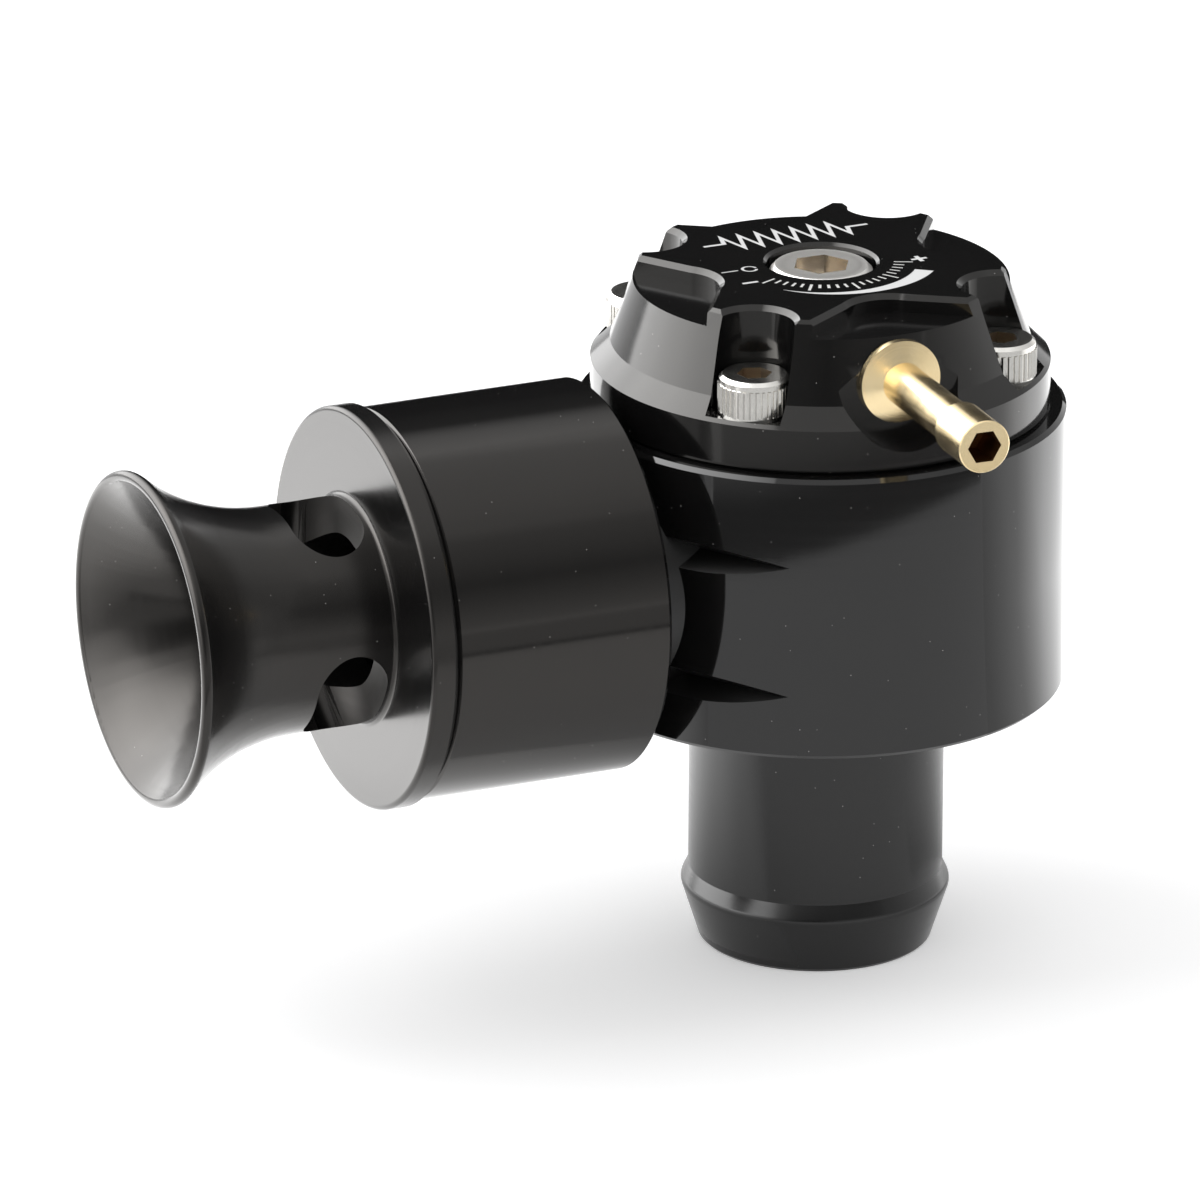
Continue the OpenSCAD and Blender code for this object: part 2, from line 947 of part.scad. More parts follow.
main_body();
inlet_spigot();
spigot_o_ring();
top_cap();
cap_o_ring();
cap_screws();
adjuster_screw();
adjuster_o_ring();
adjuster_clip();
spring_seat();
guide_pins();
main_spring();
piston();
piston_o_ring();
piston_seat_seal();
vacuum_nipple();
nipple_o_ring();
outlet_sleeve();
sleeve_o_ring();
sleeve_circlip();
trumpet();
trumpet_o_ring();
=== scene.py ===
# %% [markdown]
# # A blow off valve
# The valve is a stack of turned aluminium parts: a hose spigot, a round body, a bolted cap and,
# to the side, a sleeve with a flared trumpet. The CAD model already holds every size, so this
# lesson is about finish: soft black anodising, bright screws, turned brass and engraved marks.

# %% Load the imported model
import json
import math

import bmesh
import bpy
from mathutils import Matrix, Vector


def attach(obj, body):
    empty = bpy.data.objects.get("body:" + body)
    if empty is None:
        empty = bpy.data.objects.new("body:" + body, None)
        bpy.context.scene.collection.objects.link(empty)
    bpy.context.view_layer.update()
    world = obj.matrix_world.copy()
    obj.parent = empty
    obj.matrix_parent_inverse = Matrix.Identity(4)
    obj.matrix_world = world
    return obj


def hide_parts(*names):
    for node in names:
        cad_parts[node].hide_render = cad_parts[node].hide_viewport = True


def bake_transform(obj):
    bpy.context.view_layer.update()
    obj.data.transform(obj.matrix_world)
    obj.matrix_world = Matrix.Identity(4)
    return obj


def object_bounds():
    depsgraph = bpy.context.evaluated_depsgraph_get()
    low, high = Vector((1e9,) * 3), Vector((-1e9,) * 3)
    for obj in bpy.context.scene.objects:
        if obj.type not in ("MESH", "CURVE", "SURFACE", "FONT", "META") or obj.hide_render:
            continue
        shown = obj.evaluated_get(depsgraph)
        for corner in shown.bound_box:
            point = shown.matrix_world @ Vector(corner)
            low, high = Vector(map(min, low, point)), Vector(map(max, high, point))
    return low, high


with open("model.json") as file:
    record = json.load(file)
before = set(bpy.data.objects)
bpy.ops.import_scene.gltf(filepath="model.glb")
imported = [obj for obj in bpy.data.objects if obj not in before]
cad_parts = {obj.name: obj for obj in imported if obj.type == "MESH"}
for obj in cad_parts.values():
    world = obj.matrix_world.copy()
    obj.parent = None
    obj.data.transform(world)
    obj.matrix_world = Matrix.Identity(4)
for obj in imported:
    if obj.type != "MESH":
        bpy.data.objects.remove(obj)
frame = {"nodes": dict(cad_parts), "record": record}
cad_low, cad_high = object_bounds()
MM = 0.001
scene = bpy.context.scene
scene.view_settings.view_transform = "Standard"
print("CAD box in mm:", [round(x / MM, 2) for x in (*cad_low, *cad_high)])

# %% [markdown]
# ## Camera
# The photograph was taken from far away with a long lens, which keeps the cylinders' edges almost
# parallel. A camera can be aimed with a constraint, but here its three axes are written straight
# into its matrix, because a long lens shows every tenth of a degree.

# %% Camera at the photograph's angle
AZIMUTH, ELEVATION, ROLL = (math.radians(a) for a in (-24.2, 20.3, 0.31))
TARGET = Vector((-23.35, 0, 38.03)) * MM
CAMERA_DISTANCE = 1500 * MM
LENS_MM, SENSOR_MM = 463.3, 36

towards_camera = Vector((
    math.sin(AZIMUTH) * math.cos(ELEVATION),
    -math.cos(AZIMUTH) * math.cos(ELEVATION),
    math.sin(ELEVATION),
))
level_right = Vector((0, 0, 1)).cross(towards_camera).normalized()
level_up = towards_camera.cross(level_right)
right = level_right * math.cos(ROLL) + level_up * math.sin(ROLL)
up = level_up * math.cos(ROLL) - level_right * math.sin(ROLL)

camera = bpy.data.objects.new("camera", bpy.data.cameras.new("camera"))
camera.data.lens, camera.data.sensor_width = LENS_MM, SENSOR_MM
axes = Matrix((right, up, towards_camera)).transposed().to_4x4()
camera.matrix_world = Matrix.Translation(TARGET + towards_camera * CAMERA_DISTANCE) @ axes
scene.collection.objects.link(camera)
scene.camera = camera
print("camera stands at", [round(x, 3) for x in camera.matrix_world.translation])

# %% [markdown]
# ## Studio
# Black anodising has hardly any colour of its own: what the eye reads is the studio in it. So the
# studio is made of plain sheets. A white floor and sky light everything evenly. Dark cards behind
# and in front give the black parts their dark bands, and bright cards give the pale ones. The
# cards show only in reflections, so they never tint the floor or appear in a picture. A picture of
# a studio, wrapped around the scene, would do too, but sheets are easier to move.

# %% White sky
SKY_LEVEL = 0.82


def math_node(tree, operation, first, second):
    """A Math node on two sockets or numbers; returns its output."""
    node = tree.nodes.new("ShaderNodeMath")
    node.operation = operation
    for socket, value in zip(node.inputs, (first, second)):
        if isinstance(value, (int, float)):
            socket.default_value = value
        else:
            tree.links.new(value, socket)
    return node.outputs[0]


def ray_kinds(tree):
    """Two sockets: 1 for the camera's own rays, and 1 for mirrored or refracted ones."""
    rays = tree.nodes.new("ShaderNodeLightPath").outputs
    mirrored = math_node(tree, "MAXIMUM", rays["Is Glossy Ray"], rays["Is Transmission Ray"])
    return rays["Is Camera Ray"], mirrored


sky = bpy.data.worlds.new("white_sky")
sky.use_nodes = True
scene.world = sky
sky_shader = sky.node_tree.nodes["Background"]
sky_shader.inputs["Color"].default_value = (1, 1, 1, 1)
seen = math_node(sky.node_tree, "MAXIMUM", *ray_kinds(sky.node_tree))
sky_level = math_node(sky.node_tree, "MAXIMUM", seen, SKY_LEVEL)
sky.node_tree.links.new(sky_level, sky_shader.inputs["Strength"])
print("sky lights at", SKY_LEVEL)

# %% [markdown]
# The floor is white paint. It also glows a little, but only for the camera and for reflections:
# that is how an overexposed studio floor looks, where just the contact shadow stays grey. More lamps
# would whiten it as well, but they would bleach the valve too.

# %% Pale floor
FLOOR_SIZE = 3.0
FLOOR_WHITE, FLOOR_ROUGHNESS = (0.98, 0.98, 0.985, 1), 0.9
FLOOR_GLOW, FLOOR_GLOW_MIRRORED = 0.29, 0.17


def stage_sheet(name, points, faces, material):
    """A sheet of the stage from points in metres."""
    mesh = bpy.data.meshes.new(name)
    mesh.from_pydata(points, [], faces)
    mesh.materials.append(material)
    sheet = bpy.data.objects.new(name, mesh)
    scene.collection.objects.link(sheet)
    return sheet


floor_paint = bpy.data.materials.new("floor_paint")
floor_paint.use_nodes = True
floor_shader = floor_paint.node_tree.nodes["Principled BSDF"]
floor_shader.inputs["Base Color"].default_value = FLOOR_WHITE
floor_shader.inputs["Roughness"].default_value = FLOOR_ROUGHNESS
floor_shader.inputs["Specular IOR Level"].default_value = 0
floor_shader.inputs["Emission Color"].default_value = (1, 1, 1, 1)
seen, mirrored = ray_kinds(floor_paint.node_tree)
glow = math_node(floor_paint.node_tree, "MULTIPLY", seen, FLOOR_GLOW)
mirrored_glow = math_node(floor_paint.node_tree, "MULTIPLY", mirrored, FLOOR_GLOW_MIRRORED)
glow = math_node(floor_paint.node_tree, "ADD", glow, mirrored_glow)
floor_paint.node_tree.links.new(glow, floor_shader.inputs["Emission Strength"])
half = FLOOR_SIZE / 2
floor_corners = [(x * half, y * half, cad_low.z) for x, y in ((-1, -1), (1, -1), (1, 1), (-1, 1))]
stage_sheet("floor", floor_corners, [range(4)], floor_paint)
print("floor lies at z =", round(cad_low.z, 4))

# %% [markdown]
# One soft lamp stands where the softbox is, on the left and a little behind, so that the valve's
# shadow falls to the right. A sun lamp would draw a hard edge, and an area lamp draws a soft one. Its
# picture in the glossy parts is left to the cards.

# %% Key lamp
KEY_PLACE, KEY_SIZE, KEY_WATTS = Vector((-0.8, 0.35, 1.1)), 0.9, 5.5
key_light = bpy.data.lights.new("key_lamp", "AREA")
key_light.size = KEY_SIZE
key_light.energy = KEY_WATTS
key_lamp = bpy.data.objects.new("key_lamp", key_light)
key_lamp.location = KEY_PLACE
key_lamp.rotation_euler = KEY_PLACE.to_track_quat("Z", "Y").to_euler()
key_lamp.visible_glossy = False
scene.collection.objects.link(key_lamp)
print("key lamp:", KEY_WATTS, "W")

# %% [markdown]
# A product photographer would hang a large softbox on the left, black cloth behind on the right, and
# leave the room dark behind the camera. The wall cards do the same. Each is a strip through rows of
# points, and every row has its own levels along the strip, so a card fades like a real softbox. Its
# place is the direction in which the valve sees it.

# %% Wall cards
WALL_DISTANCE, WALL_CENTRE = 1.0, Vector((0, 0, 0.04))


def wall_row(elevation, azimuths):
    """Points of a wall card; azimuths count clockwise from +Y, seen from above, in degrees."""
    rise = math.radians(elevation)
    turns = [math.radians(azimuth) for azimuth in azimuths]
    level, height = WALL_DISTANCE * math.cos(rise), WALL_DISTANCE * math.sin(rise)
    return [WALL_CENTRE + Vector((level * math.sin(t), level * math.cos(t), height)) for t in turns]


def reflection_card(name, place_row, azimuths, rows):
    """A strip that only reflections see; rows map an elevation or radius to brightness levels."""
    card_light = bpy.data.materials.new(name)
    card_light.use_nodes = True
    tree = card_light.node_tree
    emission = tree.nodes.new("ShaderNodeEmission")
    level = tree.nodes.new("ShaderNodeAttribute")
    level.attribute_name = "brightness"
    tree.links.new(level.outputs["Fac"], emission.inputs["Strength"])
    tree.links.new(emission.outputs[0], tree.nodes["Material Output"].inputs["Surface"])
    points = [point for place in rows for point in place_row(place, azimuths)]
    wide = len(azimuths)
    corners = [row * wide + i for row in range(len(rows) - 1) for i in range(wide - 1)]
    faces = [(c, c + 1, c + wide + 1, c + wide) for c in corners]
    card = stage_sheet(name, points, faces, card_light)
    brightness = card.data.attributes.new("brightness", "FLOAT", "POINT")
    brightness.data.foreach_set("value", [value for levels in rows.values() for value in levels])
    card.visible_camera = card.visible_diffuse = card.visible_shadow = False


# Each card has its azimuths, and a row of levels for each elevation, in degrees.
WALL_CARDS = {
    "softbox_left": ((-120, -92, -70, -50, -20, 3), {
        1: (1, 3, 4.5, 5, 5, 2.5),
        14: (1.5, 4, 5.5, 6, 5, 3),
        32: (3, 7, 8, 8, 5, 2),
        68: (2.5, 4.5, 5, 5, 3, 2),
    }),
    "black_cloth": ((13, 28, 46), {
        -2: (0.01, 0.01, 0.05),
        23: (0.03, 0.03, 0.1),
        42: (0.1, 0.1, 0.2),
        50: (0.8, 0.8, 0.8),
        64: (1.5, 1.5, 1.5),
    }),
    "grey_right": ((47, 90, 140), {
        0: (1.3, 1.2, 0.5),
        25: (0.7, 0.6, 0.5),
        64: (1.3, 1, 1),
    }),
    "dark_room": ((141, 175, 200, 225, 241), {
        0: (0.8, 0.8, 0.2, 0.4, 0.8),
        22: (0.3, 0.2, 0.1, 0.2, 1),
        45: (0.6, 0.6, 1, 1.5, 3),
        64: (1, 1.5, 1.5, 2, 2.5),
    }),
}
for name, (azimuths, rows) in WALL_CARDS.items():
    reflection_card(name, wall_row, azimuths, rows)
print("wall cards:", ", ".join(WALL_CARDS))

# %% [markdown]
# The valve also mirrors the table, which is bright to the left, dark at its near edge and far behind,
# and grey in the valve's own shadow under it: that shadow is painted into the cards' inner rows. These
# tones could be painted on the floor, but then the camera would see them. So floor cards lie just above
# it, placed by their distance from the table's middle.

# %% Floor cards
TABLE_CENTRE = Vector((0.011, -0.006, 0.001))
EDGE = range(130, 256, 5)
# The level under the valve is painted shadow: the valve's own shade on the table, as reflections see it.
DARK_EDGE, TABLE_BEYOND, SHADOW_UNDER_VALVE = 0.2, 0.7, 0.5


def floor_row(radius, azimuths):
    """Points of a floor card at a distance from the table's middle."""
    turns = [math.radians(azimuth) for azimuth in azimuths]
    return [TABLE_CENTRE + Vector((radius * math.sin(t), radius * math.cos(t), 0)) for t in turns]


# Each card has its azimuths, and a row of levels for each distance, in metres.
FLOOR_CARDS = {
    "dark_table_edge": (EDGE, {
        0.153: [DARK_EDGE] * len(EDGE),
        0.172: [DARK_EDGE] * len(EDGE),
        0.185: [TABLE_BEYOND] * len(EDGE),
        1.1: [TABLE_BEYOND] * len(EDGE),
    }),
    "floor_left": ((-104, -85, -60, -35, -10), {
        0.018: [SHADOW_UNDER_VALVE] * 5,
        0.04: [1] * 5,
        0.11: (1, 2.5, 3.5, 3.5, 2.5),
        0.3: (1, 2.5, 3, 3, 2),
    }),
    "floor_behind": ((-10, 20, 50), {
        0.018: [SHADOW_UNDER_VALVE] * 3,
        0.04: [1] * 3,
        0.11: (2.5, 2, 2),
        0.29: (2, 2, 2),
    }),
    "floor_right": ((50, 80, 105, 129), {
        0.018: [SHADOW_UNDER_VALVE] * 4,
        0.04: [1] * 4,
        0.11: (2, 2.5, 1.5, 1),
        0.29: (2, 2, 1.5, 1),
    }),
    "dark_far_floor": ((13, 28, 46), {
        0.29: (0.02, 0.02, 0.1),
        1.1: (0.01, 0.01, 0.1),
    }),
}
for name, (azimuths, rows) in FLOOR_CARDS.items():
    reflection_card(name, floor_row, azimuths, rows)
print("floor cards:", ", ".join(FLOOR_CARDS))

# %% [markdown]
# ## Shared shader effects
# A lathe leaves fine rings on whatever it cuts: along a cylinder they follow its length, on a flat
# face its radius. Adding the two distances gives one number that works on both, and a
# one-dimensional noise of it makes the rings. A picture of scratches would need a UV map for each
# part. This group only needs the part's axis.


# %% Group of lathe rings
def shader_group(name, inputs, outputs):
    """A new shader node group with named sockets, and its input and output nodes."""
    group = bpy.data.node_groups.new(name, "ShaderNodeTree")
    for label, kind, value in inputs:
        group.interface.new_socket(label, in_out="INPUT", socket_type=kind).default_value = value
    for label, kind in outputs:
        group.interface.new_socket(label, in_out="OUTPUT", socket_type=kind)
    return group, group.nodes.new("NodeGroupInput"), group.nodes.new("NodeGroupOutput")


def vector_node(tree, operation, first, second=None):
    """A Vector Math node on one or two sockets; returns its outputs."""
    node = tree.nodes.new("ShaderNodeVectorMath")
    node.operation = operation
    tree.links.new(first, node.inputs[0])
    if second is not None:
        tree.links.new(second, node.inputs["Scale" if operation == "SCALE" else 1])
    return node.outputs


BAND_PITCHES, RING_DETAIL = 12, 2
lathe_rings, rings_in, rings_out = shader_group(
    "lathe_rings",
    [
        ("Axis", "NodeSocketVector", (0, 0, 1)),
        ("Centre", "NodeSocketVector", (0, 0, 0)),
        ("Pitch", "NodeSocketFloat", 0.1 * MM),
    ],
    [("Rings", "NodeSocketFloat"), ("Bands", "NodeSocketFloat")],
)
axis, centre, pitch = (rings_in.outputs[label] for label in ("Axis", "Centre", "Pitch"))
place = lathe_rings.nodes.new("ShaderNodeTexCoord").outputs["Object"]
offset = vector_node(lathe_rings, "SUBTRACT", place, centre)["Vector"]
along = vector_node(lathe_rings, "DOT_PRODUCT", offset, axis)["Value"]
on_axis = vector_node(lathe_rings, "SCALE", axis, along)["Vector"]
outwards = vector_node(lathe_rings, "SUBTRACT", offset, on_axis)["Vector"]
radius = vector_node(lathe_rings, "LENGTH", outwards)["Value"]
run = math_node(lathe_rings, "ADD", along, radius)
for label, pitches in (("Rings", 1), ("Bands", BAND_PITCHES)):
    grain = lathe_rings.nodes.new("ShaderNodeTexNoise")
    grain.noise_dimensions = "1D"
    grain.inputs["Scale"].default_value = 1
    grain.inputs["Detail"].default_value = RING_DETAIL
    step = math_node(lathe_rings, "MULTIPLY", pitch, pitches)
    lathe_rings.links.new(math_node(lathe_rings, "DIVIDE", run, step), grain.inputs["W"])
    lathe_rings.links.new(grain.outputs["Fac"], rings_out.inputs[label])
print("group", lathe_rings.name, "has", len(lathe_rings.nodes), "nodes")

# %% [markdown]
# Dust is a scatter of tiny dots. A Voronoi texture fills space with cells that each hold one
# point, and the distance to that point is small only close to it. Cutting it off near zero leaves
# dots wherever a point happens to lie on the surface. Real grains would only cost faces.

# %% Group of dust specks
dust_specks, dust_in, dust_out = shader_group(
    "dust_specks",
    [("Spacing", "NodeSocketFloat", 1.4 * MM), ("Size", "NodeSocketFloat", 0.05)],
    [("Specks", "NodeSocketFloat")],
)
place = dust_specks.nodes.new("ShaderNodeTexCoord").outputs["Object"]
cells = dust_specks.nodes.new("ShaderNodeTexVoronoi")
dust_specks.links.new(place, cells.inputs["Vector"])
density = math_node(dust_specks, "DIVIDE", 1, dust_in.outputs["Spacing"])
dust_specks.links.new(density, cells.inputs["Scale"])
near = math_node(dust_specks, "LESS_THAN", cells.outputs["Distance"], dust_in.outputs["Size"])
dust_specks.links.new(near, dust_out.inputs["Specks"])
print("group", dust_specks.name, "has", len(dust_specks.nodes), "nodes")

# %% [markdown]
# ## Finishes
# All metals here are turned, so one function builds them: a colour pair mixed by slow noise, a
# roughness that follows the lathe's bands, and a faint bump from its rings. Anodised aluminium is
# no mirror: dyed oxide hides the metal, so it is a black dielectric with a glossy surface.

# %% One builder for turned finishes
VALVE_AXIS = Vector((0, 0, 1))
VALVE_CENTRE = Vector((0, 0, 0))
SURFACE_IOR, CLOUD_DETAIL = 1.5, 3
DUST_COLOUR = (0.35, 0.34, 0.33)
RIDGE_DEPTH = 0.02 * MM
BLACKS = ((0.004, 0.004, 0.0042), (0.007, 0.0068, 0.0066))
OXIDE = {"metallic": 0, "dust": 0.035}


def place_group(tree, group, values):
    """A group node with some of its inputs set."""
    node = tree.nodes.new("ShaderNodeGroup")
    node.node_tree = group
    for label, value in values.items():
        node.inputs[label].default_value = value
    return node


def blend_colours(tree, factor, first, second):
    """Mixes two colours or colour sockets; returns the result socket."""
    mix = tree.nodes.new("ShaderNodeMix")
    mix.data_type = "RGBA"
    tree.links.new(factor, mix.inputs["Factor"])
    for socket, colour in zip((s for s in mix.inputs if s.type == "RGBA"), (first, second)):
        if isinstance(colour, tuple):
            socket.default_value = (*colour, 1)
        else:
            tree.links.new(colour, socket)
    return next(s for s in mix.outputs if s.type == "RGBA")


def turned_finish(name, colours, roughness, axis=VALVE_AXIS, centre=VALVE_CENTRE, metallic=1.0,
                  tint=(1, 1, 1), pitch=0.09, cloud=6.0, bump=0.03, dust=0.0):
    """A turned surface. Colours and roughness are pairs; pitch and cloud are in millimetres."""
    finish = bpy.data.materials.new(name)
    finish.use_nodes = True
    tree = finish.node_tree
    shader = tree.nodes["Principled BSDF"]
    shader.inputs["Metallic"].default_value = metallic
    shader.inputs["IOR"].default_value = SURFACE_IOR
    shader.inputs["Specular Tint"].default_value = (*tint, 1)
    rings = place_group(tree, lathe_rings, {"Axis": axis, "Centre": centre, "Pitch": pitch * MM})
    clouds = tree.nodes.new("ShaderNodeTexNoise")
    clouds.inputs["Scale"].default_value = 1 / (cloud * MM)
    clouds.inputs["Detail"].default_value = CLOUD_DETAIL
    tree.links.new(tree.nodes.new("ShaderNodeTexCoord").outputs["Object"], clouds.inputs["Vector"])
    colour = blend_colours(tree, clouds.outputs["Fac"], *colours)
    if dust:
        specks = place_group(tree, dust_specks, {"Size": dust})
        colour = blend_colours(tree, specks.outputs["Specks"], colour, DUST_COLOUR)
    tree.links.new(colour, shader.inputs["Base Color"])
    gloss = tree.nodes.new("ShaderNodeMapRange")
    gloss.inputs["To Min"].default_value, gloss.inputs["To Max"].default_value = roughness
    tree.links.new(rings.outputs["Bands"], gloss.inputs["Value"])
    tree.links.new(gloss.outputs["Result"], shader.inputs["Roughness"])
    ridges = tree.nodes.new("ShaderNodeBump")
    ridges.inputs["Strength"].default_value = bump
    ridges.inputs["Distance"].default_value = RIDGE_DEPTH
    tree.links.new(rings.outputs["Rings"], ridges.inputs["Height"])
    tree.links.new(ridges.outputs["Normal"], shader.inputs["Normal"])
    return finish


anodised_body = turned_finish("anodised_body", BLACKS, (0.04, 0.07), bump=0.008, **OXIDE)
print("finish", anodised_body.name, "has", len(anodised_body.node_tree.nodes), "nodes")

# %% [markdown]
# The other black parts are duller than the body: the cap and the sleeve a little, the spigot and
# the trumpet more. On the outlet the rings run about its own axis. Windows and gills were cut with
# a milling cutter, which leaves the dullest faces. One material with a roughness map could hold all
# of this, but separate materials are easier to adjust.

# %% Black finishes
OUTLET_AXIS = Vector((-1, 0, 0))
OUTLET_CENTRE = Vector((0, 0, 41)) * MM
WARM, FAINTLY_WARM = (1.0, 0.95, 0.9), (1, 0.98, 0.95)
on_outlet = {"axis": OUTLET_AXIS, "centre": OUTLET_CENTRE, "tint": WARM}
anodised_cap = turned_finish("anodised_cap", BLACKS, (0.09, 0.13), tint=FAINTLY_WARM, **OXIDE)
anodised_sleeve = turned_finish("anodised_sleeve", BLACKS, (0.09, 0.14), **on_outlet, **OXIDE)
anodised_spigot = turned_finish("anodised_spigot", BLACKS, (0.17, 0.24), **OXIDE)
anodised_trumpet = turned_finish("anodised_trumpet", BLACKS, (0.18, 0.25), **on_outlet, **OXIDE)
milled_black = turned_finish("milled_black", BLACKS, (0.5, 0.62), metallic=0, **on_outlet)
milled_gills = turned_finish("milled_gills", BLACKS, (0.3, 0.4), metallic=0, pitch=0.3, bump=0.3)
blacks = (anodised_cap, anodised_sleeve, anodised_spigot, anodised_trumpet, milled_black, milled_gills)
print("black finishes:", ", ".join(finish.name for finish in blacks))

# %% [markdown]
# Steel and brass stay bare, so they are full metals, and their colour tints what they mirror.
# Sockets get darker colours than the heads around them: painted shade for the dim light deep inside
# them. Rubber and the paint of the marks aren't turned, but the same builder serves: its rings read as a
# fine grain.

# %% Metals, rubber and paint
NIPPLE_TURN = math.radians(1.8)
NIPPLE_AXIS = Vector((-math.sin(NIPPLE_TURN), -math.cos(NIPPLE_TURN), 0))
NIPPLE_CENTRE = Vector((0, 0, 63.75)) * MM
on_nipple = {"axis": NIPPLE_AXIS, "centre": NIPPLE_CENTRE}
stainless = turned_finish(
    "stainless", ((0.74, 0.72, 0.68), (0.82, 0.81, 0.78)), (0.17, 0.26), cloud=2)
adjuster_steel = turned_finish(
    "adjuster_steel", ((0.8, 0.78, 0.75), (0.87, 0.86, 0.83)), (0.34, 0.44), cloud=2)
# Painted shade: the three socket colours below are darker than the heads, standing in for the dim light
# inside the sockets.
painted_shade_socket_steel = turned_finish(
    "painted_shade_socket_steel", ((0.4, 0.33, 0.25), (0.5, 0.44, 0.36)), (0.25, 0.4), cloud=1)
painted_shade_adjuster_socket = turned_finish(
    "painted_shade_adjuster_socket", ((0.62, 0.57, 0.5), (0.74, 0.7, 0.64)), (0.16, 0.26), cloud=1)
nipple_brass = turned_finish(
    "nipple_brass", ((0.9, 0.7, 0.38), (0.95, 0.79, 0.5)), (0.18, 0.28), pitch=0.2, bump=0.25,
    cloud=3, **on_nipple)
painted_shade_socket_brass = turned_finish(
    "painted_shade_socket_brass", ((0.2, 0.09, 0.03), (0.28, 0.14, 0.05)), (0.35, 0.5), cloud=1, **on_nipple)
piston_brass = turned_finish(
    "piston_brass", ((0.72, 0.53, 0.25), (0.79, 0.6, 0.31)), (0.22, 0.34), bump=0.1)
spring_steel = turned_finish(
    "spring_steel", ((0.42, 0.43, 0.45), (0.52, 0.53, 0.55)), (0.25, 0.4), cloud=3)
bare_aluminium = turned_finish(
    "bare_aluminium", ((0.72, 0.73, 0.74), (0.8, 0.81, 0.82)), (0.25, 0.38), bump=0.1)
seal_rubber = turned_finish(
    "seal_rubber", ((0.018, 0.018, 0.018), (0.03, 0.03, 0.03)), (0.55, 0.75), metallic=0,
    pitch=0.3, cloud=1.5, bump=0.1)
mark_paint = turned_finish(
    "mark_paint", ((0.74, 0.74, 0.72), (0.84, 0.84, 0.82)), (0.45, 0.6), metallic=0, pitch=0.05,
    cloud=0.8)
print("materials so far:", len(bpy.data.materials))

# %% [markdown]
# ## Engraved marks
# The cap carries white engraved marks around the adjuster. Here they are a plain dial: a row of
# ticks, a wedge that grows the way the spring tightens, a minus and a plus, a spring symbol, and a
# ring with a leader line. The ticks repeat along an arc. They could be copied by hand, but a small
# Geometry Nodes tree leaves their number and length as inputs that are easy to change.


# %% Inputs of the tick tree
def node_tree(name, inputs):
    """A new geometry node tree; returns it, its input sockets and its output node."""
    tree = bpy.data.node_groups.new(name, "GeometryNodeTree")
    for label, kind in inputs.items():
        tree.interface.new_socket(label, in_out="INPUT", socket_type=f"NodeSocket{kind}")
    tree.interface.new_socket("Geometry", in_out="OUTPUT", socket_type="NodeSocketGeometry")
    return tree, tree.nodes.new("NodeGroupInput").outputs, tree.nodes.new("NodeGroupOutput")


tick_tree, tick, tick_end = node_tree("dial_ticks", {
    "Ticks": "Int", "Radius": "Float", "From": "Float", "Sweep": "Float", "Length": "Float",
    "Width": "Float", "Height": "Float", "Level": "Float", "Finish": "Material",
})
print("tree", tick_tree.name, "has", len(tick_tree.interface.items_tree), "sockets")

# %% [markdown]
# Inside the tree, an arc gives points, each point gets a bar, and every fifth bar is longer. Nodes
# could be wired by hand in the editor. A helper that names sockets makes the same wires readable
# here. Each tree ends in real geometry with a finish, because the export drops instances.

# %% Ticks along an arc
LONG_EVERY, LONG_SCALE = 5, 1.7


def geometry_node(tree, kind, settings=None, **sockets):
    """A node whose sockets are linked or set by name, with spaces written as underscores."""
    node = tree.nodes.new(kind)
    for label, value in (settings or {}).items():
        setattr(node, label, value)
    for label, value in sockets.items():
        socket = next(s for s in node.inputs if s.enabled and s.name == label.replace("_", " "))
        if isinstance(value, bpy.types.NodeSocket):
            tree.links.new(value, socket)
        else:
            socket.default_value = value
    return node.outputs


def close_tree(tree, outlet, instances, finish):
    """Ends a tree with real geometry in one finish, which the export keeps."""
    solid = geometry_node(tree, "GeometryNodeRealizeInstances", Geometry=instances)["Geometry"]
    painted = geometry_node(tree, "GeometryNodeSetMaterial", Geometry=solid, Material=finish)["Geometry"]
    tree.links.new(painted, outlet.inputs["Geometry"])


arc = geometry_node(
    tick_tree, "GeometryNodeCurveArc", Resolution=tick["Ticks"], Radius=tick["Radius"],
    Start_Angle=tick["From"], Sweep_Angle=tick["Sweep"])["Curve"]
points = geometry_node(
    tick_tree, "GeometryNodeCurveToPoints", {"mode": "EVALUATED"}, Curve=arc)["Points"]
bar_size = geometry_node(
    tick_tree, "ShaderNodeCombineXYZ", X=tick["Length"], Y=tick["Width"], Z=tick["Height"])["Vector"]
bar = geometry_node(tick_tree, "GeometryNodeMeshCube", Size=bar_size)["Mesh"]
half_length = math_node(tick_tree, "MULTIPLY", tick["Length"], 0.5)
bar_place = geometry_node(tick_tree, "ShaderNodeCombineXYZ", X=half_length, Z=tick["Level"])["Vector"]
bar = geometry_node(tick_tree, "GeometryNodeTransform", Geometry=bar, Translation=bar_place)["Geometry"]
position = geometry_node(tick_tree, "GeometryNodeInputPosition")["Position"]
outward = geometry_node(
    tick_tree, "FunctionNodeAlignRotationToVector", {"axis": "X"}, Vector=position)["Rotation"]
index = geometry_node(tick_tree, "GeometryNodeInputIndex")["Index"]
is_long = math_node(tick_tree, "LESS_THAN", math_node(tick_tree, "MODULO", index, LONG_EVERY), 0.5)
stretch = math_node(tick_tree, "ADD", math_node(tick_tree, "MULTIPLY", is_long, LONG_SCALE - 1), 1)
bar_scale = geometry_node(tick_tree, "ShaderNodeCombineXYZ", X=stretch, Y=1.0, Z=1.0)["Vector"]
bars = geometry_node(
    tick_tree, "GeometryNodeInstanceOnPoints", Points=points, Instance=bar, Rotation=outward,
    Scale=bar_scale)["Instances"]
close_tree(tick_tree, tick_end, bars, tick["Finish"])
print("tree", tick_tree.name, "has", len(tick_tree.nodes), "nodes")

